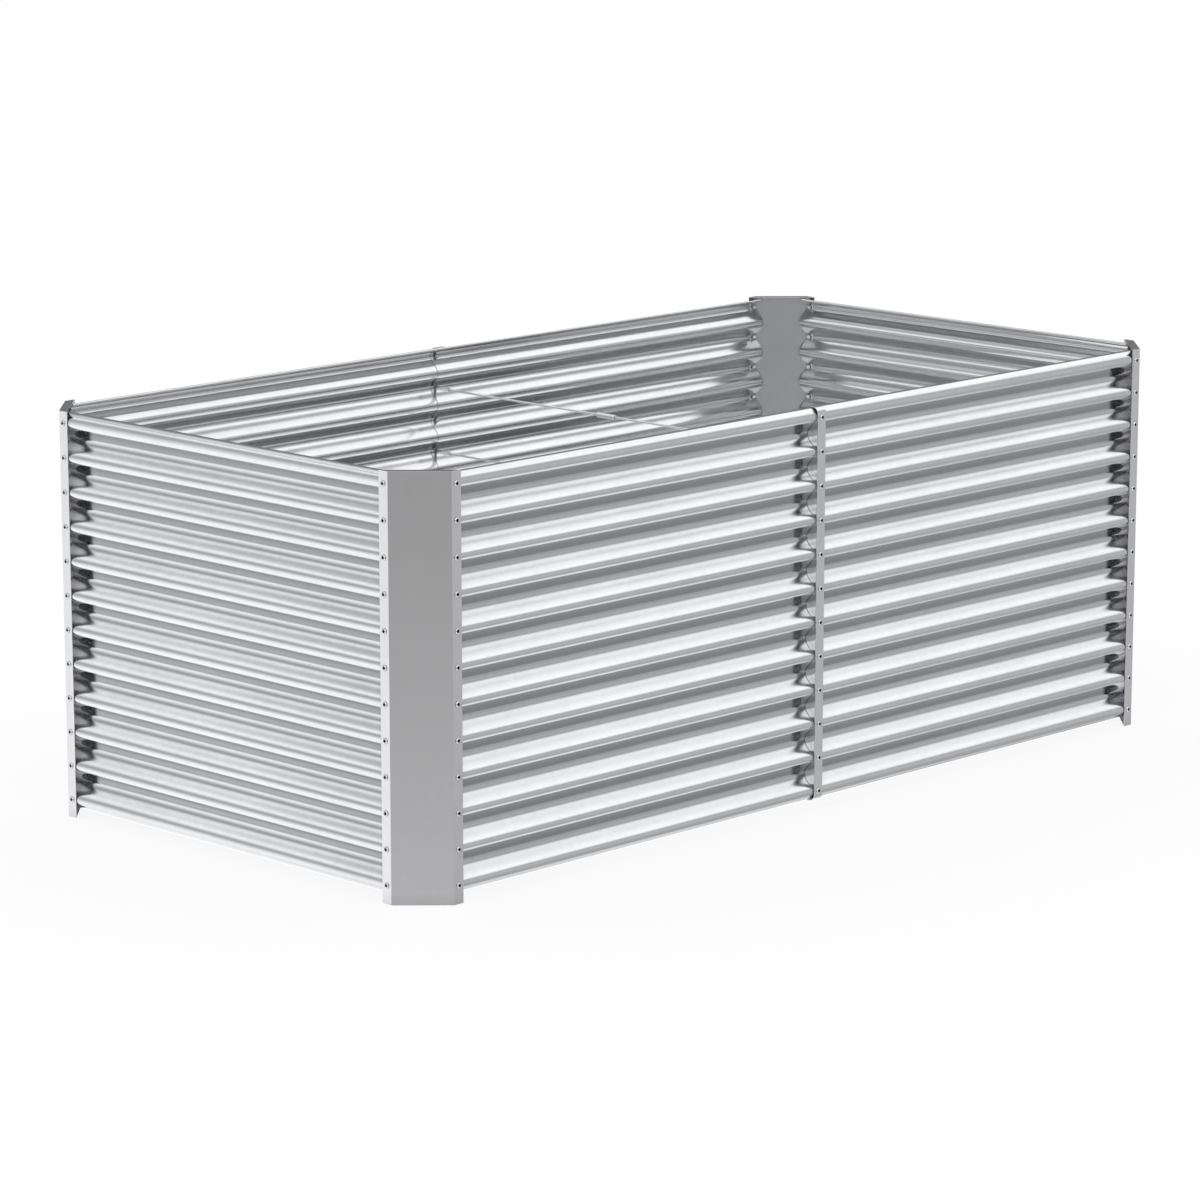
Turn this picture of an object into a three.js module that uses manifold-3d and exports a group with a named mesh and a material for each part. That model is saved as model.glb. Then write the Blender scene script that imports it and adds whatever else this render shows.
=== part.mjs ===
// Raised garden bed of ribbed galvanised sheet: four corner posts, six wall panels, two mid straps
// and tie rods across the middle. Millimetres, +Z up, long side along X, origin on the ground at the centre.

import * as THREE from 'three';
import { mergeVertices } from 'three/addons/utils/BufferGeometryUtils.js';
import Module from 'manifold-3d';

const wasm = await Module();
wasm.setup();

// Whole bed
const bedLength = 2438;      // over the end flanges of the posts
const bedWidth = 1235;       // over the side flanges of the posts
const clearance = 0.3;       // between neighbouring pieces

// Ribbed panels
const panelSheet = 0.8;
const ribPitch = 77;
const ribCount = 12;
const ribDepth = 25;
const ribRadius = 17;        // of crest and trough
const rimRadius = 22;        // the sheet rolls over above the top crest and below the bottom one
const hemRadius = 3;         // rolled edge at the end of each rim
const rimDrop = 26.5;        // top of the posts down to the top crest
const footRise = 40.5;       // ground up to the bottom crest
const panelLap = 32;         // overlap of the two panels of a long wall
const panelSetback = 2;      // panel end to the bend of the post

// Corner posts
const postSheet = 1.5;
const chamferFace = 130;
const flangeWidth = 27;

// Mid straps
const strapSheet = 2;
const strapWidth = 26;
const strapHookTurn = 80;    // degrees that each end wraps around its rim

// Bolts and nuts
const shankRadius = 3;
const headRadius = 6.5;
const headRise = 3.4;
const nutRadius = 5.8;       // across corners
const nutHeight = 5;
const boltSides = 6;

// Tie rods
const rodRadius = 2.5;
const rodSides = 8;
const couplingRadius = 5.2;  // across corners
const couplingLength = 46;
const boltReach = 13;        // of the end bolt inside the coupling nut
const rodReach = 22;         // of the rod inside the coupling nut
const sleeveRadius = 6;
const sleeveLength = 56;
const sleeveOffset = 45;     // sleeve centre behind the middle of the bed
const rodTipGap = 8;         // between the two rod ends inside the sleeve

// Worked out from the sizes above
const bedHeight = rimDrop + (ribCount - 1) * ribPitch + footRise;
const cornerLeg = chamferFace / Math.SQRT2;
const crestInset = postSheet + clearance;         // flange face in to the crests
const lapShift = panelSheet + clearance;          // the inner panel of a lap sits this much further in
const holeRadius = (shankRadius + clearance) / Math.cos(Math.PI / boltSides);
const rows = Array.from({ length: ribCount }, (_, row) => bedHeight - rimDrop - row * ribPitch);
const rodRows = rows.filter((_, row) => row % 2 === 1 && row < ribCount - 1);
const flankAngle = Math.asin(2 * ribRadius / Math.hypot(ribPitch / 2, 2 * ribRadius - ribDepth))
  - Math.atan2(2 * ribRadius - ribDepth, ribPitch / 2);
const crestHalf = ribRadius * Math.tan(flankAngle / 3);  // half the flat middle of a crest

const lapDepth = lapShift + panelSheet;

// How far in from the crests a nut seats: it bridges the hollow behind sheets that are stack deep.
function nutSeat(radius, stack) {
  const slope = ribRadius * (1 - Math.cos(flankAngle)) / (ribRadius * Math.sin(flankAngle) - crestHalf);
  const flat = crestHalf - stack * Math.tan(Math.atan(slope) / 2);
  return stack + Math.max(0, radius - flat) * slope + clearance;
}

const outerGrip = crestInset + nutSeat(nutRadius, panelSheet);   // flange face in to the nuts
const innerGrip = crestInset + nutSeat(nutRadius, lapDepth);
const strapGrip = strapSheet + clearance + nutSeat(nutRadius, lapDepth);

const material = (name, color, roughness) =>
  new THREE.MeshStandardMaterial({ name, color, roughness, metalness: 1, flatShading: true });
const finishes = {
  panel: material('ribbed_sheet', 0xd6d8dc, 0.22),
  post: material('post_sheet', 0xc4c5c9, 0.32),
  strap: material('strap_sheet', 0xc9cace, 0.3),
  bolt: material('zinc_fastener', 0xd2d3d6, 0.25),
  rod: material('zinc_rod', 0xcfd0d3, 0.3),
};

// ---- Solids: closed meshes joined and cut ----

function toSolid(geometry) {
  const bare = new THREE.BufferGeometry().setAttribute('position', geometry.getAttribute('position'));
  bare.setIndex(geometry.getIndex());
  const merged = mergeVertices(bare, 1e-4);
  const index = merged.getIndex().array;
  const triangles = [];
  for (let i = 0; i < index.length; i += 3) {
    const [a, b, c] = [index[i], index[i + 1], index[i + 2]];
    if (a !== b && b !== c && c !== a) triangles.push(a, b, c);
  }
  return new wasm.Manifold(new wasm.Mesh({
    numProp: 3,
    vertProperties: new Float32Array(merged.getAttribute('position').array),
    triVerts: new Uint32Array(triangles),
  }));
}

function toGeometry(solid) {
  const { vertProperties, triVerts } = solid.getMesh();
  const geometry = new THREE.BufferGeometry();
  geometry.setAttribute('position', new THREE.BufferAttribute(vertProperties, 3));
  geometry.setIndex(new THREE.BufferAttribute(triVerts, 1));
  geometry.computeVertexNormals();
  return geometry;
}

const joined = (body, additions) => additions.reduce((solid, part) => solid.add(toSolid(part)), body);
const drilled = (body, drills) => drills.reduce((solid, drill) => solid.subtract(toSolid(drill)), body);

// ---- Basic forms ----

const radians = THREE.MathUtils.degToRad;

// A path moved sideways with mitred corners; a positive distance is to its left.
function offsetPath(path, distance) {
  const normalOf = (from, to) => new THREE.Vector2(from.y - to.y, to.x - from.x).normalize();
  return path.map((point, i) => {
    const before = i > 0 ? normalOf(path[i - 1], point) : normalOf(point, path[1]);
    const after = i < path.length - 1 ? normalOf(point, path[i + 1]) : before;
    const mitre = distance / (1 + before.dot(after));
    return point.clone().addScaledVector(before.clone().add(after), mitre);
  });
}

// Closed outline of a bent sheet from one of its faces.
const sheetOutline = (face, thickness) =>
  new THREE.Shape([...face, ...offsetPath(face, thickness).reverse()]);

const extruded = (shape, depth) => new THREE.ExtrudeGeometry(shape, { depth, bevelEnabled: false });

// Turned form about Y from [radius, height] pairs listed upwards.
const turned = (profile, sides) =>
  new THREE.LatheGeometry(profile.map(([radius, height]) => new THREE.Vector2(radius, height)), sides);

const rod = (radius, low, high, sides) =>
  turned([[0, low], [radius, low], [radius, high], [0, high]], sides);

const tube = (inner, outer, length, sides) =>
  turned([[inner, 0], [outer, 0], [outer, length], [inner, length], [inner, 0]], sides);

// Bolt along Y with its head's seat at seatHeight, down to a nut at -grip, or to a plain tip without one.
function bolt(seatHeight, grip, hasNut) {
  const tip = hasNut ? [[0, -grip - nutHeight], [nutRadius, -grip - nutHeight], [nutRadius, -grip]] : [[0, -grip]];
  return turned([
    ...tip,
    [shankRadius, -grip],
    [shankRadius, seatHeight],
    [headRadius, seatHeight],
    [headRadius * 0.72, headRise * 0.75],
    [0, headRise],
  ], boltSides);
}

// ---- Corner posts ----

const flangeMiddle = cornerLeg + flangeWidth / 2;

// The post of the +X +Y corner, with the virtual corner of the bed at its origin.
function makePost(sideGrip) {
  const flangeEnd = cornerLeg + flangeWidth;
  const bends = [[0, -flangeEnd], [0, -cornerLeg], [-cornerLeg, 0], [-flangeEnd, 0]];
  const outside = bends.map(([x, y]) => new THREE.Vector2(x, y));
  const endPlate = () => extruded(new THREE.Shape(offsetPath(outside, postSheet / 2)), postSheet);
  const embedded = -postSheet / 2;
  const bolts = rows.flatMap((height) => [
    bolt(embedded, outerGrip, true).rotateZ(-Math.PI / 2).translate(0, -flangeMiddle, height),
    bolt(embedded, sideGrip, true).translate(-flangeMiddle, 0, height),
  ]);
  return toGeometry(joined(toSolid(extruded(sheetOutline(outside, postSheet), bedHeight)), [
    endPlate(),
    endPlate().translate(0, 0, bedHeight - postSheet),
    ...bolts,
  ]));
}

// ---- Wall pieces, in a wall's own frame: x outwards from the bed's centre, y up, z along the wall ----

const onArc = (centreX, centreY, radius, angle) =>
  new THREE.Vector2(centreX + radius * Math.cos(angle), centreY + radius * Math.sin(angle));

// Points of a rolled rim from angle to angle, on a face that stands lift outside the sheet's own.
function rimFace(height, lift, degrees) {
  return degrees.map((angle) => onArc(-rimRadius, height, rimRadius + lift, radians(angle)));
}

function hemFace(height, side) {
  const centre = height + side * (rimRadius - hemRadius);
  return [135, 180, 225].map((angle) => onArc(-rimRadius, centre, hemRadius, side * radians(angle)));
}

// The flat middle of a crest: two points level with the wall plane.
function crestFace(height, lift) {
  return [new THREE.Vector2(lift, height - crestHalf), new THREE.Vector2(lift, height + crestHalf)];
}

// The flat floor of a trough, from its lower point up.
function troughFace(height) {
  const half = ribRadius * Math.tan(flankAngle / 2);
  return [new THREE.Vector2(-ribDepth, height - half), new THREE.Vector2(-ribDepth, height + half)];
}

// Outer face of a panel from the bottom hem to the top hem; x is zero at the crests.
function panelFace() {
  const flank = (height, side) => onArc(-ribRadius, height, ribRadius, side * flankAngle);
  const top = rows[0];
  const bottom = rows[ribCount - 1];
  const ribs = rows.flatMap((height) => [
    ...(height === top ? [] : [flank(height, 1)]),
    ...crestFace(height, 0).reverse(),
    ...(height === bottom ? [] : [flank(height, -1), ...troughFace(height - ribPitch / 2).reverse()]),
  ]);
  return [
    ...hemFace(bottom, -1).reverse(),
    ...rimFace(bottom, 0, [-90, -60, -30]),
    ...ribs.reverse(),
    ...rimFace(top, 0, [30, 60, 90]),
    ...hemFace(top, 1),
  ];
}

function drill(depthIn, x, y, z) {
  return rod(holeRadius, -depthIn, depthIn, boltSides).rotateZ(-Math.PI / 2).translate(x, y, z);
}

// Panel from z = low to z = high, nested this far inside the wall's face, with bolt holes along z.
function makePanel(plane, nesting, low, high, holes) {
  const face = offsetPath(panelFace(), nesting);
  const sheet = extruded(sheetOutline(face, panelSheet), high - low).translate(plane, 0, low);
  const drills = holes.flatMap((z) => rows.map((y) => drill(nesting + 2 * panelSheet, plane, y, z)));
  return toGeometry(drilled(toSolid(sheet), drills));
}

function makeStrap(plane) {
  const back = [
    ...rimFace(rows[ribCount - 1], clearance, [-strapHookTurn, -60, -30]),
    crestFace(rows[ribCount - 1], clearance)[0],
    crestFace(rows[0], clearance)[1],
    ...rimFace(rows[0], clearance, [30, 60, strapHookTurn]),
  ];
  const sheet = extruded(sheetOutline(back, -strapSheet), strapWidth).translate(plane, 0, -strapWidth / 2);
  const face = plane + clearance + strapSheet;
  const plain = rows.filter((height) => !rodRows.includes(height));
  const bolts = plain.map((height) =>
    bolt(-strapSheet / 2, strapGrip, true).rotateZ(-Math.PI / 2).translate(face, height, 0));
  const drills = rodRows.map((height) => drill(2 * strapSheet, face, height, 0));
  return toGeometry(drilled(joined(toSolid(sheet), bolts), drills));
}

// ---- Assembly ----

const bed = new THREE.Group();
bed.name = 'raised_garden_bed';

function place(parent, name, geometry, finish, [x, y, z] = [0, 0, 0]) {
  const mesh = new THREE.Mesh(geometry, finish);
  mesh.name = name;
  mesh.position.set(x, y, z);
  parent.add(mesh);
  return mesh;
}

// A wall's frame, turned about Z from the +X wall.
function wallFrame(turn) {
  const heading = new THREE.Group();
  heading.rotation.z = radians(turn);
  const upright = new THREE.Group();
  upright.rotation.x = Math.PI / 2;
  heading.add(upright);
  bed.add(heading);
  return upright;
}

const corners = [
  { name: 'post_back_right', x: 1, y: 1, turn: 0, sideGrip: innerGrip },
  { name: 'post_back_left', x: -1, y: 1, turn: 90, sideGrip: outerGrip },
  { name: 'post_front_left', x: -1, y: -1, turn: 180, sideGrip: innerGrip },
  { name: 'post_front_right', x: 1, y: -1, turn: 270, sideGrip: outerGrip },
];
for (const corner of corners) {
  const position = [corner.x * bedLength / 2, corner.y * bedWidth / 2, 0];
  place(bed, corner.name, makePost(corner.sideGrip), finishes.post, position).rotation.z = radians(corner.turn);
}

// Half the length of a wall's panels, and how far from the wall's middle its end bolts stand.
const panelReach = (span) => span / 2 - cornerLeg - panelSetback;
const boltReachAlong = (span) => span / 2 - flangeMiddle;

const ends = [{ name: 'panel_end_right', turn: 0 }, { name: 'panel_end_left', turn: 180 }];
for (const { name, turn } of ends) {
  const reach = panelReach(bedWidth);
  const holes = [-boltReachAlong(bedWidth), boltReachAlong(bedWidth)];
  place(wallFrame(turn), name, makePanel(bedLength / 2 - crestInset, 0, -reach, reach, holes), finishes.panel);
}

// On each long wall the panel on the +z side of the wall's frame is the inner one of the lap.
const sidePlane = bedWidth / 2 - crestInset;
const strapFace = sidePlane + clearance + strapSheet;
const couplingEnd = sidePlane - nutSeat(couplingRadius, lapDepth);
const sleeveLow = -sleeveOffset - sleeveLength / 2;
const sides = [
  { side: 'back', turn: 90, outer: 'left', inner: 'right', rodTip: sleeveOffset + rodTipGap / 2 },
  { side: 'front', turn: 270, outer: 'right', inner: 'left', rodTip: rodTipGap / 2 - sleeveOffset },
];
for (const { side, turn, outer, inner, rodTip } of sides) {
  const wall = wallFrame(turn);
  const reach = panelReach(bedLength);
  const end = boltReachAlong(bedLength);
  const outerPanel = makePanel(sidePlane, 0, -reach, panelLap / 2, [-end, 0]);
  const innerPanel = makePanel(sidePlane, lapShift, -panelLap / 2, reach, [0, end]);
  place(wall, `panel_${side}_${outer}`, outerPanel, finishes.panel);
  place(wall, `panel_${side}_${inner}`, innerPanel, finishes.panel);
  place(wall, `strap_${side}`, makeStrap(sidePlane), finishes.strap);
  rodRows.forEach((height, i) => {
    const onWall = (geometry) => geometry.rotateZ(-Math.PI / 2);
    const boltLength = strapFace - couplingEnd + boltReach;
    const coupling = tube(holeRadius, couplingRadius, couplingLength, boltSides);
    const tieRod = rod(rodRadius, rodTip, couplingEnd - couplingLength + rodReach, rodSides);
    place(wall, `rod_bolt_${side}_${i + 1}`, onWall(bolt(clearance, boltLength, false)), finishes.bolt,
      [strapFace, height, 0]);
    place(wall, `coupling_nut_${side}_${i + 1}`, onWall(coupling), finishes.rod,
      [couplingEnd - couplingLength, height, 0]);
    place(wall, `tie_rod_${side}_${i + 1}`, onWall(tieRod), finishes.rod, [0, height, 0]);
  });
}

// The sleeves turn about the rods, in the front wall's frame.
const sleeveFrame = wallFrame(270);
const sleeveBore = (rodRadius + clearance) / Math.cos(Math.PI / rodSides);
rodRows.forEach((height, i) => {
  const sleeve = tube(sleeveBore, sleeveRadius, sleeveLength, rodSides).rotateZ(-Math.PI / 2);
  place(sleeveFrame, `rod_sleeve_${i + 1}`, sleeve, finishes.rod, [sleeveLow, height, 0]);
});

export default bed;
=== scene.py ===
import math

import bmesh
import bpy
from mathutils import Matrix, Vector


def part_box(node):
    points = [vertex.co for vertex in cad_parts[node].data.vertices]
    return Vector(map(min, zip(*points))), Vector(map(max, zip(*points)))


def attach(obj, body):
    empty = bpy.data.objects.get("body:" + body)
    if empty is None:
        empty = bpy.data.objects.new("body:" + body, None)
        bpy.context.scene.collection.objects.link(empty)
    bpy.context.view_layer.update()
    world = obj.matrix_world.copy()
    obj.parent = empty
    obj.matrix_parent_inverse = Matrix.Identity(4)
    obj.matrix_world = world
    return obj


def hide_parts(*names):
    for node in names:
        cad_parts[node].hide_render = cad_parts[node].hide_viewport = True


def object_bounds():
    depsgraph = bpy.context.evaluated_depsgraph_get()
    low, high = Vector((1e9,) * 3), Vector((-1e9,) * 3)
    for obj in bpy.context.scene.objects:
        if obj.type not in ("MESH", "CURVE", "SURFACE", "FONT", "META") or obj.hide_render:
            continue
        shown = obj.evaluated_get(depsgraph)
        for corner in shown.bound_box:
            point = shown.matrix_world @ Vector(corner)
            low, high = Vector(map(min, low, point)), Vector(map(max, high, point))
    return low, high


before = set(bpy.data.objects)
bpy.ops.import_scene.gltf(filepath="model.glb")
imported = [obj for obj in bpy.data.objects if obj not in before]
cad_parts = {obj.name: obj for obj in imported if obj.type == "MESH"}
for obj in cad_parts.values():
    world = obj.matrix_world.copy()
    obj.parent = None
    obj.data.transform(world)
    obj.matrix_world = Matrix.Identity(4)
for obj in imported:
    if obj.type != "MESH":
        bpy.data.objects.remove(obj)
cadLow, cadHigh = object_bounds()
scene = bpy.context.scene
print("frame loaded:", len(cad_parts), "CAD nodes")


# One output of a node; arithmetic on it adds Math nodes.
class Wire:
    def __init__(self, graph, socket):
        self.graph = graph
        self.socket = socket

    def output(self, name):
        return Wire(self.graph, self.socket.node.outputs[name])

    def calc(self, operation, *others):
        inputs = dict(enumerate([self, *others]))
        return self.graph.node("ShaderNodeMath", {"operation": operation}, inputs)

    def __add__(self, other):
        return self.calc("ADD", other)

    def __sub__(self, other):
        return self.calc("SUBTRACT", other)

    def __mul__(self, other):
        return self.calc("MULTIPLY", other)

    def __truediv__(self, other):
        return self.calc("DIVIDE", other)

    def __gt__(self, other):
        return self.calc("GREATER_THAN", other)

    def __rsub__(self, other):
        return self.graph.node("ShaderNodeMath", {"operation": "SUBTRACT"}, {0: other, 1: self})

    __radd__ = __add__


class Graph:
    def __init__(self, tree):
        self.tree = tree

    def node(self, kind, settings={}, inputs={}):
        made = self.tree.nodes.new(kind)
        for name, value in settings.items():
            if name == "stops":
                self.setStops(made.color_ramp, value)
            else:
                setattr(made, name, value)
        for name, value in inputs.items():
            for item in value if isinstance(value, list) else [value]:
                if isinstance(item, Wire):
                    self.tree.links.new(item.socket, made.inputs[name])
                else:
                    made.inputs[name].default_value = item
        return Wire(self, next(s for s in made.outputs if s.enabled)) if made.outputs else made

    def setStops(self, ramp, stops):
        for place, value in stops[2:]:
            ramp.elements.new(place)
        for element, (place, value) in zip(ramp.elements, stops):
            element.position = place
            element.color = (value, value, value, 1)


def newMaterial(name):
    material = bpy.data.materials.new(name)
    material.use_nodes = True
    material.node_tree.nodes.clear()
    return material, Graph(material.node_tree)


# Zinc-coated steel: streaks, spangle, clouds, and painted shade in hollows and bolt sockets.
def zincCoated(name, look):
    material, graph = newMaterial(name)
    coordinates = graph.node("ShaderNodeTexCoord")
    place = coordinates.output("Object")
    grain = graph.node("ShaderNodeVectorMath", {"operation": "MULTIPLY"}, {0: place, 1: look["stretch"]})
    streaks = graph.node("ShaderNodeTexNoise", {},
                         {"Vector": grain, "Scale": look["streakScale"], "Detail": 4.0})
    spangle = graph.node("ShaderNodeTexVoronoi", {"feature": "F1"},
                         {"Vector": place, "Scale": look["spangleScale"], "Randomness": 1.0})
    flake = graph.node("ShaderNodeSeparateColor", {}, {"Color": spangle.output("Color")})
    clouds = graph.node("ShaderNodeTexNoise", {},
                        {"Vector": place, "Scale": look["cloudScale"], "Detail": 3.0})
    bloom = clouds.calc("SUBTRACT", 0.5) * look["cloudDepth"]
    tone = 0.5 + (streaks - 0.5) * look["streakDepth"] + (flake - 0.5) * look["spangleDepth"] + bloom
    ownColour = graph.node("ShaderNodeMix", {"data_type": "RGBA"},
                       {0: tone.calc("MAXIMUM", 0.0).calc("MINIMUM", 1.0),
                        6: (*look["dark"], 1), 7: (*look["light"], 1)}).output(2)
    # Painted shade: the colour darkens towards a shade colour in hollows and corners that ambient occlusion
    # finds, more so on faces that look away from the bed's middle, and in bolt sockets.
    level = graph.node("ShaderNodeVectorMath", {"operation": "MULTIPLY"}, {0: place, 1: (1, 1, 0)})
    away = graph.node("ShaderNodeVectorMath", {"operation": "DOT_PRODUCT"},
                      {0: coordinates.output("Normal"), 1: level})
    share = look["paintedShadeInside"] + (away > 0.0) * (look["paintedShadeOutside"] - look["paintedShadeInside"])
    openness = graph.node("ShaderNodeAmbientOcclusion", {"samples": 4}, {"Distance": look["paintedShadeReach"]})
    hollow = 1.0 - openness.output("AO")
    # bolt sockets take the painted shade colour in full
    recess = graph.node("ShaderNodeAttribute", {"attribute_name": "recess"}).output("Fac")
    unshadedShare = 1.0 - (hollow * share).calc("MAXIMUM", recess)
    colour = graph.node("ShaderNodeMix", {"data_type": "RGBA"},
                        {0: unshadedShare, 6: (*look["paintedShade"], 1), 7: ownColour}).output(2)
    rough = look["roughness"] + (0.5 - tone) * look["roughnessSwing"]
    waves = graph.node("ShaderNodeTexNoise", {},
                       {"Vector": grain, "Scale": look["waveScale"], "Detail": 2.0})
    bump = graph.node("ShaderNodeBump", {},
                      {"Strength": look["waveStrength"], "Distance": look["waveHeight"], "Height": waves})
    surface = graph.node("ShaderNodeBsdfPrincipled", {},
                         {"Base Color": colour, "Roughness": rough, "Metallic": 1.0, "Normal": bump})
    graph.node("ShaderNodeOutputMaterial", {}, {"Surface": surface})
    return material


# In each finish the last four entries paint shade: the shade colour for hollows and sockets, how much of it
# on faces looking away from and towards the bed's middle, and how far the ambient occlusion looks.
finishes = {
    "ribbedSheet": {
        "dark": (0.535, 0.54, 0.55), "light": (0.645, 0.65, 0.658),
        "roughness": 0.16, "roughnessSwing": 0.06, "stretch": (1.0, 1.0, 8.0),
        "streakScale": 6.0, "streakDepth": 0.5, "spangleScale": 70.0, "spangleDepth": 0.16,
        "cloudScale": 2.2, "cloudDepth": 0.5, "waveScale": 3.0, "waveStrength": 0.12, "waveHeight": 0.002,
        "paintedShade": (0.16, 0.16, 0.17), "paintedShadeOutside": 0.85, "paintedShadeInside": 0.1, "paintedShadeReach": 0.045,
    },
    "postSheet": {
        "dark": (0.56, 0.56, 0.572), "light": (0.64, 0.64, 0.652),
        "roughness": 0.24, "roughnessSwing": 0.08, "stretch": (14.0, 14.0, 1.0),
        "streakScale": 5.0, "streakDepth": 0.5, "spangleScale": 60.0, "spangleDepth": 0.14,
        "cloudScale": 3.0, "cloudDepth": 0.5, "waveScale": 2.0, "waveStrength": 0.1, "waveHeight": 0.002,
        "paintedShade": (0.16, 0.16, 0.17), "paintedShadeOutside": 0.4, "paintedShadeInside": 0.2, "paintedShadeReach": 0.03,
    },
    "strapSheet": {
        "dark": (0.56, 0.562, 0.57), "light": (0.65, 0.652, 0.66),
        "roughness": 0.22, "roughnessSwing": 0.08, "stretch": (10.0, 10.0, 1.0),
        "streakScale": 9.0, "streakDepth": 0.5, "spangleScale": 80.0, "spangleDepth": 0.14,
        "cloudScale": 6.0, "cloudDepth": 0.5, "waveScale": 5.0, "waveStrength": 0.08, "waveHeight": 0.001,
        "paintedShade": (0.16, 0.16, 0.17), "paintedShadeOutside": 0.4, "paintedShadeInside": 0.0, "paintedShadeReach": 0.01,
    },
    "fastener": {
        "dark": (0.56, 0.565, 0.575), "light": (0.7, 0.7, 0.7),
        "roughness": 0.18, "roughnessSwing": 0.1, "stretch": (1.0, 1.0, 1.0),
        "streakScale": 160.0, "streakDepth": 0.6, "spangleScale": 600.0, "spangleDepth": 0.2,
        "cloudScale": 20.0, "cloudDepth": 0.5, "waveScale": 300.0, "waveStrength": 0.1, "waveHeight": 0.0002,
        "paintedShade": (0.02, 0.02, 0.02), "paintedShadeOutside": 1.0, "paintedShadeInside": 0.05, "paintedShadeReach": 0.008,
    },
    "rod": {
        "dark": (0.62, 0.625, 0.635), "light": (0.8, 0.8, 0.8),
        "roughness": 0.3, "roughnessSwing": 0.12, "stretch": (8.0, 1.0, 8.0),
        "streakScale": 60.0, "streakDepth": 0.7, "spangleScale": 400.0, "spangleDepth": 0.2,
        "cloudScale": 12.0, "cloudDepth": 0.5, "waveScale": 120.0, "waveStrength": 0.15, "waveHeight": 0.0003,
        "paintedShade": (0.1, 0.1, 0.1), "paintedShadeOutside": 0.6, "paintedShadeInside": 0.6, "paintedShadeReach": 0.006,
    },
}
zinc = {name: zincCoated(name, look) for name, look in finishes.items()}
print("finishes mixed:", len(zinc))


def smoothed(mesh, sharpAngle):
    mesh.shade_smooth()
    mesh.set_sharp_from_angle(angle=math.radians(sharpAngle))
    return mesh


def addPiece(name, mesh, material, body="bed", stands=()):
    piece = bpy.data.objects.new(name, mesh)
    scene.collection.objects.link(piece)
    if mesh.materials:
        mesh.materials[0] = material
    else:
        mesh.materials.append(material)
    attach(piece, body)
    if stands:
        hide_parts(*stands)
    return piece


# Closed prism between the two sides of a bent sheet; lift places a point of the section at a distance.
def sheetPrism(name, outer, inner, low, high, lift):
    shape = bmesh.new()
    rings = [[[shape.verts.new(lift(point, at)) for point in side] for side in (outer, inner)]
             for at in (low, high)]
    count = len(outer)
    for i in range(count - 1):
        for ring in rings:
            shape.faces.new([ring[0][i], ring[0][i + 1], ring[1][i + 1], ring[1][i]])
        for side in (0, 1):
            near, far = rings[0][side], rings[1][side]
            shape.faces.new([near[i], near[i + 1], far[i + 1], far[i]])
    for i in (0, count - 1):
        shape.faces.new([rings[0][0][i], rings[0][1][i], rings[1][1][i], rings[1][0][i]])
    bmesh.ops.recalc_face_normals(shape, faces=shape.faces)
    mesh = bpy.data.meshes.new(name)
    shape.to_mesh(mesh)
    shape.free()
    return mesh


def bevelled(piece, width, segments=2):
    bevel = piece.modifiers.new("edges", "BEVEL")
    bevel.width = width
    bevel.segments = segments
    bevel.limit_method = "ANGLE"
    bevel.angle_limit = math.radians(40)
    bevel.harden_normals = True


def arcPoints(centre, radius, start, end, steps):
    return [(centre[0] + radius * math.cos(a), centre[1] + radius * math.sin(a))
            for a in (math.radians(start + (end - start) * i / steps) for i in range(steps + 1))]


def toMesh(carrier):
    bpy.context.view_layer.update()
    ready = carrier.evaluated_get(bpy.context.evaluated_depsgraph_get())
    mesh = bpy.data.meshes.new_from_object(ready)
    mesh.name = carrier.name
    source = carrier.data
    bpy.data.objects.remove(carrier)
    bpy.data.meshes.remove(source)
    return mesh


# Puts a tree on a carrier, sets its named inputs and gives back the plain mesh.
def grown(name, tree, values, start=None, sheet=0.0):
    carrier = bpy.data.objects.new(name, start or bpy.data.meshes.new(name))
    scene.collection.objects.link(carrier)
    modifier = carrier.modifiers.new(tree.name, "NODES")
    modifier.node_group = tree
    sockets = {item.name: item.identifier for item in tree.interface.items_tree if item.in_out == "INPUT"}
    for label, value in values.items():
        modifier[sockets[label]] = value
    if sheet:
        solid = carrier.modifiers.new("sheet", "SOLIDIFY")
        solid.thickness = sheet
        solid.offset = -1
        solid.use_even_offset = True
    return toMesh(carrier)


def newTree(name, inputs):
    tree = bpy.data.node_groups.new(name, "GeometryNodeTree")
    tree.interface.new_socket("Geometry", in_out="INPUT", socket_type="NodeSocketGeometry")
    for label, kind in inputs.items():
        tree.interface.new_socket(label, in_out="INPUT", socket_type="NodeSocket" + kind)
    tree.interface.new_socket("Geometry", in_out="OUTPUT", socket_type="NodeSocketGeometry")
    graph = Graph(tree)
    source = graph.node("NodeGroupInput")
    return tree, graph, {label: source.output(label) for label in ["Geometry", *inputs]}


def closeTree(graph, geometry, material):
    real = graph.node("GeometryNodeRealizeInstances", {}, {0: geometry})
    dressed = graph.node("GeometryNodeSetMaterial", {}, {"Geometry": real, "Material": material})
    graph.node("NodeGroupOutput", {}, {"Geometry": dressed})


# Sizes read from the frame
bedHeight = cadHigh.z
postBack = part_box("post_back_right")
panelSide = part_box("panel_front_right")
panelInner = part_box("panel_front_left")
rodCount = 5
boltBoxes = [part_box("rod_bolt_front_%d" % (i + 1)) for i in range(rodCount)]
rodRows = [(low.z + high.z) / 2 for low, high in boltBoxes]
headRise = 0.0034       # bolt heads stand this far proud of their seats

walls = {"front": 0, "right": 90, "back": 180, "left": 270}   # turn of each wall about Z, in degrees


# Ribbed panels: one sheet rolled to a rule
ribbed = {"sheet": 0.0008, "pitch": 0.077, "ribs": 12, "depth": 0.025, "topRim": 0.022, "bottomRim": 0.022,
          "hem": 0.003, "hemTurn": 135, "topCrest": 0.0265, "step": 0.0021}


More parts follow.
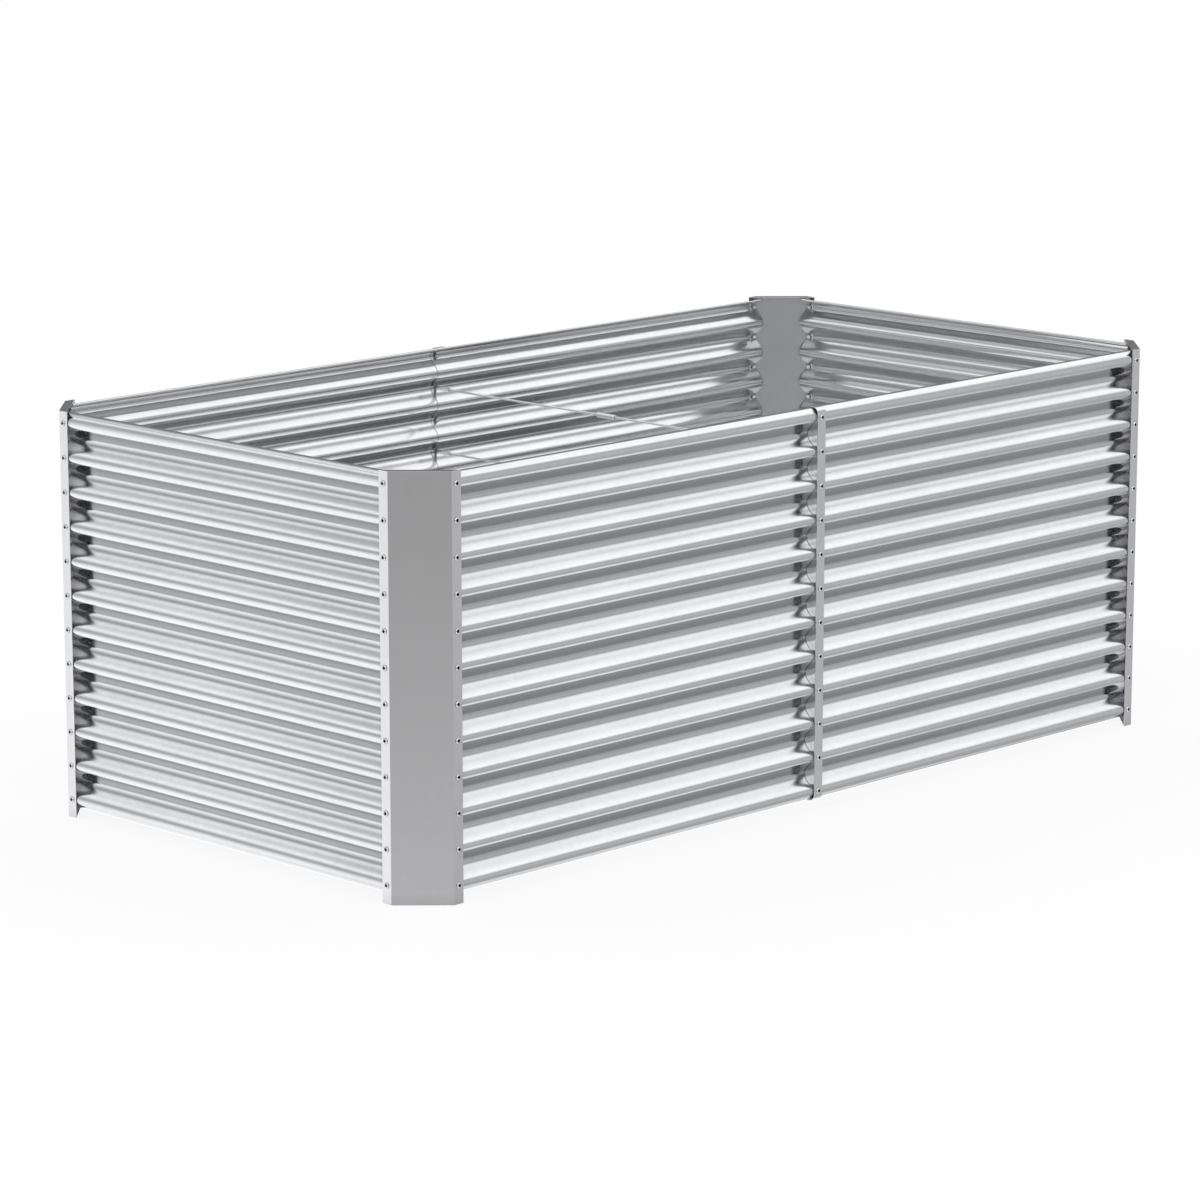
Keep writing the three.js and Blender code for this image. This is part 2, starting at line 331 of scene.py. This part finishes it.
def sheetTree(material):
    tree, graph, value = newTree("ribbedSheet", {
        "Low": "Float", "High": "Float", "Plane": "Float", "Bottom Crest": "Float", "Span": "Float",
        "Pitch": "Float", "Depth": "Float", "Top Rim": "Float", "Bottom Rim": "Float", "Hem": "Float",
        "Hem Turn": "Float", "Nesting": "Float", "Stations": "Int"})
    span = value["Span"]
    hemLength = value["Hem"] * value["Hem Turn"]
    above = value["Top Rim"] * (math.pi / 2) + hemLength
    below = value["Bottom Rim"] * (math.pi / 2) + hemLength
    total = span + above + below
    grid = graph.node("GeometryNodeMeshGrid", {}, {
        "Size X": total, "Size Y": value["High"] - value["Low"],
        "Vertices X": value["Stations"], "Vertices Y": 2})
    spot = graph.node("ShaderNodeSeparateXYZ", {}, {0: graph.node("GeometryNodeInputPosition")})
    rolled = spot.output("X") + total * 0.5 - below     # distance along the sheet from the bottom crest
    along = spot.output("Y") + (value["High"] + value["Low"]) * 0.5
    inRibs = rolled.calc("MAXIMUM", 0.0).calc("MINIMUM", span)
    past = rolled - inRibs
    rim = value["Bottom Rim"] + (value["Top Rim"] - value["Bottom Rim"]) * (past > 0.0)
    reach = past.calc("ABSOLUTE")
    quarter = rim * (math.pi / 2)
    rimTurn = reach.calc("MINIMUM", quarter) / rim
    hemTurn = (reach - quarter).calc("MAXIMUM", 0.0) / value["Hem"]
    wave = (1.0 - (inRibs * (2 * math.pi) / value["Pitch"]).calc("COSINE")) * value["Depth"] * 0.5
    inward = wave + rim * (1.0 - rimTurn.calc("COSINE")) + value["Hem"] * hemTurn.calc("SINE")
    rise = rim * rimTurn.calc("SINE") + value["Hem"] * (hemTurn.calc("COSINE") - 1.0)
    height = value["Bottom Crest"] + inRibs + past.calc("SIGN") * rise
    place = graph.node("ShaderNodeCombineXYZ", {}, {"X": along, "Y": inward - value["Plane"], "Z": height})
    sheet = graph.node("GeometryNodeSetPosition", {}, {"Geometry": grid.output("Mesh"), "Position": place})
    outward = graph.node("GeometryNodeFlipFaces", {}, {0: sheet})
    nested = graph.node("ShaderNodeVectorMath", {"operation": "SCALE"},
                        {0: graph.node("GeometryNodeInputNormal"), "Scale": 0.0 - value["Nesting"]})
    shifted = graph.node("GeometryNodeSetPosition", {}, {"Geometry": outward, "Offset": nested})
    closeTree(graph, shifted, material)
    return tree


ribbedTree = sheetTree(zinc["ribbedSheet"])


def addPanel(name, wall, nesting):
    low, high = (Matrix.Rotation(-math.radians(walls[wall]), 4, "Z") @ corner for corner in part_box(name))
    left, right = sorted((low.x, high.x))
    plane = -min(low.y, high.y)
    span = ribbed["pitch"] * (ribbed["ribs"] - 1)
    length = span + math.pi * ribbed["topRim"]
    mesh = grown(name, ribbedTree, {
        "Low": left, "High": right, "Plane": plane + nesting,
        "Bottom Crest": bedHeight - ribbed["topCrest"] - span, "Span": span, "Pitch": ribbed["pitch"],
        "Depth": ribbed["depth"], "Top Rim": ribbed["topRim"], "Bottom Rim": ribbed["bottomRim"],
        "Hem": ribbed["hem"], "Hem Turn": math.radians(ribbed["hemTurn"]), "Nesting": nesting,
        "Stations": round(length / ribbed["step"])}, sheet=ribbed["sheet"])
    mesh.transform(Matrix.Rotation(math.radians(walls[wall]), 4, "Z"))
    addPiece(name + "_sheet", smoothed(mesh, 50), zinc["ribbedSheet"], stands=[name])


lapShift = panelInner[0].y - panelSide[0].y
for name, wall, nesting in [
        ("panel_front_right", "front", 0.0), ("panel_front_left", "front", lapShift),
        ("panel_back_left", "back", 0.0), ("panel_back_right", "back", lapShift),
        ("panel_end_right", "right", 0.0), ("panel_end_left", "left", 0.0)]:
    addPanel(name, wall, nesting)
print("ribbed panels rolled, lap", round(lapShift * 1000, 2), "mm")


post = {"sheet": 0.0015, "face": 0.130, "flange": 0.027, "bend": 0.003, "bendSteps": 5, "edge": 0.0004,
        "plateInset": 0.0002}


def bentSection(depth):
    # outside face of a post moved inwards by depth, as [x, y] from the bed's corner at +X +Y
    leg = post["face"] / math.sqrt(2)
    end = leg + post["flange"]
    radius = post["bend"] - depth
    turn = math.radians(45)
    back = post["bend"] * math.tan(turn / 2)
    lower = (-post["bend"], -leg - back)
    upper = (-leg - back, -post["bend"])
    return [(-depth, -end), *arcPoints(lower, radius, 0, 45, post["bendSteps"]),
            *arcPoints(upper, radius, 45, 90, post["bendSteps"]), (-end, -depth)]


def endPlate(shape, low, high):
    # flat plate that closes a post between its bent sheet and the line of its flange ends
    outer = bentSection(post["sheet"] / 2)
    rings = [[shape.verts.new((x, y, z)) for x, y in outer] for z in (low, high)]
    shape.faces.new(rings[1])
    shape.faces.new(list(reversed(rings[0])))
    for i in range(len(outer)):
        j = (i + 1) % len(outer)
        shape.faces.new([rings[0][i], rings[0][j], rings[1][j], rings[1][i]])


def addPost(name, corner, turn):
    mesh = sheetPrism(name, bentSection(0), bentSection(post["sheet"]), 0, bedHeight,
                      lambda point, z: (*point, z))
    shape = bmesh.new()
    shape.from_mesh(mesh)
    inset, plate = post["plateInset"], post["sheet"]
    endPlate(shape, inset, plate)
    endPlate(shape, bedHeight - plate, bedHeight - inset)
    bmesh.ops.recalc_face_normals(shape, faces=shape.faces)
    shape.to_mesh(mesh)
    shape.free()
    mesh.transform(Matrix.Translation(corner) @ Matrix.Rotation(math.radians(turn), 4, "Z"))
    piece = addPiece(name + "_sheet", smoothed(mesh, 30), zinc["postSheet"], stands=[name])
    bevelled(piece, post["edge"])


cornerX = postBack[1].x - headRise      # flange faces
cornerY = postBack[1].y - headRise
posts = [("post_back_right", 1, 1, 0), ("post_back_left", -1, 1, 90),
         ("post_front_left", -1, -1, 180), ("post_front_right", 1, -1, 270)]
for name, x, y, turn in posts:
    addPost(name, Vector((x * cornerX, y * cornerY, 0)), turn)
print("posts bent, half length", round(cornerX, 4), "half width", round(cornerY, 4))


strap = {"sheet": 0.002, "width": 0.026, "gap": 0.0003, "hook": 80, "hookBulge": 0.0035,
         "hookSteps": 14, "edge": 0.0004}


def addStrap(name, wall):
    plane = -panelSide[0].y
    topCrest = bedHeight - ribbed["topCrest"]
    bottomCrest = topCrest - ribbed["pitch"] * (ribbed["ribs"] - 1)

    def hook(rim, crest, lift, side):
        # seen along the wall, x inwards and y up; the hook bulges off the rim between its ends
        points = []
        for i in range(strap["hookSteps"] + 1):
            share = i / strap["hookSteps"]
            turn = math.radians(strap["hook"] * share)
            radius = rim + lift + strap["hookBulge"] * math.sin(math.pi * share) ** 2
            points.append((rim - radius * math.cos(turn), crest + side * radius * math.sin(turn)))
        return points

    def face(lift):
        low = hook(ribbed["bottomRim"], bottomCrest, lift, -1)
        return [*reversed(low), *hook(ribbed["topRim"], topCrest, lift, 1)]

    mesh = sheetPrism(name, face(strap["gap"] + strap["sheet"]), face(strap["gap"]),
                      -strap["width"] / 2, strap["width"] / 2,
                      lambda point, x: (x, point[0] - plane, point[1]))
    mesh.transform(Matrix.Rotation(math.radians(walls[wall]), 4, "Z"))
    piece = addPiece(name + "_sheet", smoothed(mesh, 30), zinc["strapSheet"], stands=[name])
    bevelled(piece, strap["edge"])


for wall in ("front", "back"):
    addStrap("strap_" + wall, wall)
print("straps hooked over the rims")


bolt = {"head": 0.0064, "foot": 0.97, "edgeShare": 0.25, "domeSteps": 5, "sides": 18, "socket": 0.0034,
        "socketDepth": 0.0028, "socketRim": 1.25, "socketLip": 0.0002, "socketCone": 0.0004, "shank": 0.003,
        "nut": 0.0058, "nutHeight": 0.005, "nutEdge": 0.0006, "nutFlat": 0.9,
        "tail": 0.0035, "tailTip": 0.7,
        "outerGrip": 0.00384, "innerGrip": 0.00518, "strapGrip": 0.00568}
tiny = 0.0001           # tells a point from the axis or the seat


def turnedMesh(name, profile, sides, twist=0.0):
    # closed form about Z from (radius, height) pairs that start and end on the axis
    shape = bmesh.new()
    rings = []
    for radius, height in profile:
        if radius == 0:
            rings.append([shape.verts.new((0, 0, height))] * sides)
            continue
        angles = [twist + 2 * math.pi * i / sides for i in range(sides)]
        rings.append([shape.verts.new((radius * math.cos(a), radius * math.sin(a), height))
                      for a in angles])
    for first, second in zip(rings, rings[1:]):
        for i in range(sides):
            j = (i + 1) % sides
            corners = list(dict.fromkeys([first[i], first[j], second[j], second[i]]))
            shape.faces.new(corners)
    bmesh.ops.recalc_face_normals(shape, faces=shape.faces)
    mesh = bpy.data.meshes.new(name)
    shape.to_mesh(mesh)
    shape.free()
    return mesh


def headMesh():
    # low dome with a hexagon socket
    radius, wide = bolt["head"], bolt["socket"]
    edge, steps = bolt["edgeShare"], bolt["domeSteps"]
    rim = math.degrees(math.acos(wide * bolt["socketRim"] / radius))
    dome = [(radius * math.cos(a), headRise * (edge + (1 - edge) * math.sin(a)))
            for a in (math.radians(rim * i / steps) for i in range(steps + 1))]
    bottom = headRise - bolt["socketDepth"]
    socket = [(wide, dome[-1][1] - bolt["socketLip"]), (wide, bottom), (0, bottom - bolt["socketCone"])]
    mesh = turnedMesh("head", [(0, 0), (radius * bolt["foot"], 0), *dome, *socket], bolt["sides"])
    inSocket = []
    for vert in mesh.vertices:
        reach = math.hypot(vert.co.x, vert.co.y)
        inside = reach < wide * 1.01
        inSocket.append(float(inside and vert.co.z > tiny))
        if inside and reach > tiny:       # round socket wall pulled to a hexagon
            turn = math.atan2(vert.co.y, vert.co.x) % (math.pi / 3) - math.pi / 6
            vert.co.xy *= math.cos(math.pi / 6) / math.cos(turn)
    # socket points are painted with shade colour by the finish, nearly black on fasteners
    recess = mesh.attributes.new("recess", "FLOAT", "POINT")     # tells the finish where the socket is
    recess.data.foreach_set("value", inSocket)
    return smoothed(mesh, 30)


def nutMesh():
    # hexagon nut below its seat, with the rounded tail of the bolt past it
    nut, height, shank, tail = bolt["nut"], bolt["nutHeight"], bolt["shank"], bolt["tail"]
    edge, flat, tip = bolt["nutEdge"], nut * bolt["nutFlat"], bolt["tailTip"]
    body = turnedMesh("nut", [(0, 0), (flat, 0), (nut, -edge), (nut, edge - height),
                              (flat, -height), (0, -height)], 6, math.radians(30))
    end = turnedMesh("tail", [(0, tiny - height), (shank, tiny - height), (shank, -height - tail * tip),
                              (shank * tip, -height - tail), (0, -height - tail)], 12)
    shape = bmesh.new()
    shape.from_mesh(body)
    shape.from_mesh(end)
    shape.to_mesh(body)
    shape.free()
    return smoothed(body, 30)


def fastenerTree(headForm, nutForm, material):
    tree, graph, value = newTree("fasteners", {"Heads": "Object", "Nuts": "Object"})
    axis = graph.node("GeometryNodeInputNamedAttribute", {"data_type": "FLOAT_VECTOR"}, {"Name": "axis"})
    grip = graph.node("GeometryNodeInputNamedAttribute", {"data_type": "FLOAT"}, {"Name": "grip"})
    turn = graph.node("FunctionNodeAlignRotationToVector", {"axis": "Z"}, {"Vector": axis})
    heads = graph.node("GeometryNodeObjectInfo", {}, {"Object": value["Heads"]}).output("Geometry")
    nuts = graph.node("GeometryNodeObjectInfo", {}, {"Object": value["Nuts"]}).output("Geometry")
    onSeats = graph.node("GeometryNodeInstanceOnPoints", {},
                         {"Points": value["Geometry"], "Instance": heads, "Rotation": turn})
    through = graph.node("ShaderNodeVectorMath", {"operation": "SCALE"}, {0: axis, "Scale": 0.0 - grip})
    behind = graph.node("GeometryNodeSetPosition", {}, {"Geometry": value["Geometry"], "Offset": through})
    onBacks = graph.node("GeometryNodeInstanceOnPoints", {},
                         {"Points": behind, "Selection": grip > 0.0, "Instance": nuts, "Rotation": turn})
    both = graph.node("GeometryNodeJoinGeometry", {}, {0: [onSeats, onBacks]})
    closeTree(graph, both, material)
    return tree


def template(name, mesh):
    made = bpy.data.objects.new(name, mesh)
    scene.collection.objects.link(made)
    return made


headForm = template("headForm", headMesh())
nutForm = template("nutForm", nutMesh())
boltTree = fastenerTree(headForm, nutForm, zinc["fastener"])


# Seats are (place, outward axis, depth of the nut below the seat, or zero where there is no nut).
def addFasteners(name, seats, stands=()):
    points = bpy.data.meshes.new(name)
    points.from_pydata([place for place, axis, grip in seats], [], [])
    points.attributes.new("axis", "FLOAT_VECTOR", "POINT")
    points.attributes.new("grip", "FLOAT", "POINT")
    points.attributes["axis"].data.foreach_set("vector", [part for seat in seats for part in seat[1]])
    points.attributes["grip"].data.foreach_set("value", [seat[2] for seat in seats])
    mesh = grown(name, boltTree, {"Heads": headForm, "Nuts": nutForm}, points)
    addPiece(name, mesh, zinc["fastener"], stands=stands)


rows = [bedHeight - ribbed["topCrest"] - i * ribbed["pitch"] for i in range(ribbed["ribs"])]
flangeMiddle = post["face"] / math.sqrt(2) + post["flange"] / 2
for name, x, y, turn in posts:
    sideGrip = bolt["innerGrip"] if x * y > 0 else bolt["outerGrip"]
    seats = []
    for z in rows:
        seats.append(((x * cornerX, y * (cornerY - flangeMiddle), z), (x, 0, 0), bolt["outerGrip"]))
        seats.append(((x * (cornerX - flangeMiddle), y * cornerY, z), (0, y, 0), sideGrip))
    addFasteners(name + "_bolts", seats)

strapFace = -panelSide[0].y + strap["gap"] + strap["sheet"]
rowGap = 0.01           # a rib nearer than this to a tie rod has the rod's bolt
for wall, side in (("front", -1), ("back", 1)):
    plain = [z for z in rows if all(abs(z - rodRow) > rowGap for rodRow in rodRows)]
    seats = [((0, side * strapFace, z), (0, side, 0), bolt["strapGrip"]) for z in plain]
    seats += [((0, side * (strapFace + strap["gap"]), z), (0, side, 0), 0.0) for z in rodRows]
    through = ["rod_bolt_%s_%d" % (wall, i + 1) for i in range(rodCount)]
    addFasteners("strap_%s_bolts" % wall, seats, through)
for form in (headForm, nutForm):
    bpy.data.objects.remove(form)
print("bolts and nuts fitted")


rod = {"radius": 0.0025, "sides": 16, "pitch": 0.0012, "threadRise": 0.0004, "threadLength": 0.055,
       "coupling": 0.0052, "couplingBore": 0.0034, "sleeve": 0.006, "sleeveBore": 0.0030, "sleeveSides": 24}


# Rod along Z with a thread wound on each end.
def rodTree(material):
    tree, graph, value = newTree("threadedRod", {
        "Radius": "Float", "Length": "Float", "Thread Length": "Float", "Pitch": "Float", "Rise": "Float",
        "Sides": "Int"})
    shaft = graph.node("GeometryNodeMeshCylinder", {}, {
        "Vertices": value["Sides"], "Radius": value["Radius"], "Depth": value["Length"]}).output("Mesh")
    winding = graph.node("GeometryNodeCurveSpiral", {}, {
        "Resolution": 12, "Rotations": value["Thread Length"] / value["Pitch"],
        "Start Radius": value["Radius"], "End Radius": value["Radius"], "Height": value["Thread Length"]})
    section = graph.node("GeometryNodeCurvePrimitiveCircle", {"mode": "RADIUS"},
                         {"Resolution": 4, "Radius": value["Rise"]}).output("Curve")
    thread = graph.node("GeometryNodeCurveToMesh", {},
                        {"Curve": winding, "Profile Curve": section, "Fill Caps": True})
    lift = value["Length"] * 0.5 - value["Thread Length"]
    upper = graph.node("ShaderNodeCombineXYZ", {}, {"Z": lift})
    lower = graph.node("ShaderNodeCombineXYZ", {}, {"Z": 0.0 - value["Length"] * 0.5})
    top = graph.node("GeometryNodeTransform", {}, {"Geometry": thread, "Translation": upper})
    bottom = graph.node("GeometryNodeTransform", {}, {"Geometry": thread, "Translation": lower})
    both = graph.node("GeometryNodeJoinGeometry", {}, {0: [shaft, top, bottom]})
    closeTree(graph, both, material)
    return tree


def tubeMesh(name, outer, bore, length, sides, twist=0.0, chamfer=0.0006):
    # open tube along Z from 0 to length
    profile = [(bore, chamfer), (bore + chamfer, 0), (outer - chamfer, 0), (outer, chamfer),
               (outer, length - chamfer), (outer - chamfer, length), (bore + chamfer, length),
               (bore, length - chamfer), (bore, chamfer)]
    mesh = turnedMesh(name, profile, sides, twist)
    shape = bmesh.new()
    shape.from_mesh(mesh)
    bmesh.ops.remove_doubles(shape, verts=shape.verts, dist=1e-6)
    bmesh.ops.recalc_face_normals(shape, faces=shape.faces)
    shape.to_mesh(mesh)
    shape.free()
    return mesh


alongY = Matrix.Rotation(math.radians(-90), 4, "X")        # +Z of a turned form to +Y
threadedRod = rodTree(zinc["rod"])
for i in range(rodCount):
    for wall in ("front", "back"):
        name = "tie_rod_%s_%d" % (wall, i + 1)
        low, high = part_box(name)
        mesh = grown(name, threadedRod, {
            "Radius": rod["radius"], "Length": high.y - low.y, "Thread Length": rod["threadLength"],
            "Pitch": rod["pitch"], "Rise": rod["threadRise"], "Sides": rod["sides"]})
        mesh.transform(Matrix.Translation((0, (low.y + high.y) / 2, rodRows[i])) @ alongY)
        addPiece(name + "_threaded", smoothed(mesh, 50), zinc["rod"], stands=[name])
        name = "coupling_nut_%s_%d" % (wall, i + 1)
        low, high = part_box(name)
        mesh = tubeMesh(name, rod["coupling"], rod["couplingBore"], high.y - low.y, 6, math.radians(30))
        mesh.transform(Matrix.Translation((0, low.y, rodRows[i])) @ alongY)
        addPiece(name + "_hex", smoothed(mesh, 25), zinc["fastener"], stands=[name])
    name = "rod_sleeve_%d" % (i + 1)
    low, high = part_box(name)
    length = high.y - low.y
    mesh = tubeMesh(name, rod["sleeve"], rod["sleeveBore"], length, rod["sleeveSides"])
    mesh.transform(Matrix.Translation((0, low.y, rodRows[i])) @ alongY)
    addPiece(name + "_turned", smoothed(mesh, 30), zinc["rod"], "sleeve_%d" % (i + 1), [name])
print("tie rods threaded")


floorLook = {"halfWidth": 30.0, "glow": 0.85}


def addFloor():
    mesh = bpy.data.meshes.new("floor")
    reach = floorLook["halfWidth"]
    mesh.from_pydata([(-reach, -reach, 0), (reach, -reach, 0), (reach, reach, 0), (-reach, reach, 0)], [],
                     [(0, 1, 2, 3)])
    floor = bpy.data.objects.new("floor", mesh)
    scene.collection.objects.link(floor)
    material, graph = newMaterial("paleFloor")
    path = graph.node("ShaderNodeLightPath")
    plain = path.output("Is Camera Ray") + path.output("Is Glossy Ray") + path.output("Is Transmission Ray")
    matt = graph.node("ShaderNodeBsdfDiffuse", {}, {"Color": (1, 1, 1, 1)})
    glow = graph.node("ShaderNodeEmission", {}, {"Color": (1, 1, 1, 1), "Strength": 1.0})
    share = plain.calc("MINIMUM", 1.0) * floorLook["glow"]
    surface = graph.node("ShaderNodeMixShader", {}, {0: share, 1: matt, 2: glow})
    graph.node("ShaderNodeOutputMaterial", {}, {"Surface": surface})
    mesh.materials.append(material)
    floor.visible_glossy = False


# Brightness that the metal mirrors, by elevation in degrees, in four parts of the studio.
studio = {
    "right": [(-90, 1.0), (-55, 1.1), (-50, 1.3), (-44, 1.35), (-41, 1.0), (-37, 0.62), (-20, 0.64),
              (-10, 0.72), (5, 0.74), (15, 0.68), (21, 0.66), (25, 0.85), (28, 1.2), (32, 1.55), (36, 1.65),
              (41, 1.6), (50, 1.45), (90, 1.3)],
    "left": [(-90, 1.0), (-48, 1.0), (-43, 1.2), (-38, 1.55), (-20, 1.5), (-9, 1.25), (4, 0.98), (12, 0.72),
             (18, 0.64), (26, 0.64), (29.5, 0.80), (33.7, 1.25), (36, 1.6), (39.5, 1.6), (41, 0.62),
             (50, 0.7), (60, 1.2), (90, 1.3)],
    "back": [(-90, 1.4), (-45, 1.7), (-12, 1.7), (-4, 1.1), (1, 0.50), (5, 0.24), (10, 0.12), (15, 0.22),
             (23, 0.24), (32, 0.34), (38, 0.7), (44, 1.4), (90, 1.3)],
    "front": [(-90, 1.3), (-30, 1.3), (-20, 1.1), (-15, 0.66), (-10, 0.26), (-3, 0.26), (3, 0.80),
              (8, 1.4), (30, 1.4), (60, 1.4), (90, 1.3)],
}
# Middle of a part as an azimuth from +Y towards +X, and where its edge begins and ends to either side.
sectors = {"back": (25, 41, 36), "front": (225, 66, 50)}
peak = 2.0              # brightness at the top of the colour ramps' scale


def paintStudio():
    world = bpy.data.worlds.new("studio")
    world.use_nodes = True
    world.node_tree.nodes.clear()
    scene.world = world
    graph = Graph(world.node_tree)
    heading = graph.node("ShaderNodeTexCoord").output("Generated")
    parts = graph.node("ShaderNodeSeparateXYZ", {}, {0: heading})
    x, y, z = parts.output("X"), parts.output("Y"), parts.output("Z")
    level = (x * x + y * y).calc("SQRT").calc("MAXIMUM", 1e-4)
    rise = z.calc("ARCSINE") / math.pi + 0.5

    def band(side):
        stops = [((elevation + 90) / 180, bright / peak) for elevation, bright in studio[side]]
        return graph.node("ShaderNodeValToRGB", {"stops": stops}, {"Fac": rise})

    def blend(share, first, second):
        return graph.node("ShaderNodeMix", {"data_type": "RGBA"}, {0: share, 6: first, 7: second}).output(2)

    def sector(side):
        middle, wide, narrow = (math.radians(angle) for angle in sectors[side])
        facing = (x * math.sin(middle) + y * math.cos(middle)) / level
        return graph.node("ShaderNodeMapRange", {"interpolation_type": "SMOOTHSTEP"},
                          {"Value": facing, "From Min": math.cos(wide), "From Max": math.cos(narrow)})

    sides = blend(x > y, band("left"), band("right"))
    painted = blend(sector("front"), blend(sector("back"), sides, band("back")), band("front"))
    path = graph.node("ShaderNodeLightPath")
    mirrored = graph.node("ShaderNodeBackground", {}, {"Color": painted, "Strength": peak})
    white = graph.node("ShaderNodeBackground", {}, {"Color": (1, 1, 1, 1), "Strength": 1.0})
    shown = graph.node("ShaderNodeMixShader", {}, {0: path.output("Is Glossy Ray"), 1: white, 2: mirrored})
    graph.node("ShaderNodeOutputWorld", {}, {"Surface": shown})


view = {"place": (-7.6225, -7.4199, 2.6372), "heading": 45.517, "dip": 11.955,
        "lens": 141.1, "sensor": 36.0, "reach": 100}


def addCamera():
    data = bpy.data.cameras.new("camera")
    data.lens = view["lens"]
    data.sensor_width = view["sensor"]
    data.clip_end = view["reach"]
    camera = bpy.data.objects.new("camera", data)
    scene.collection.objects.link(camera)
    camera.location = view["place"]
    camera.rotation_euler = (math.radians(90 - view["dip"]), 0, -math.radians(view["heading"]))
    scene.camera = camera


addFloor()
paintStudio()
addCamera()
scene.view_settings.view_transform = "Standard"
print("studio set")
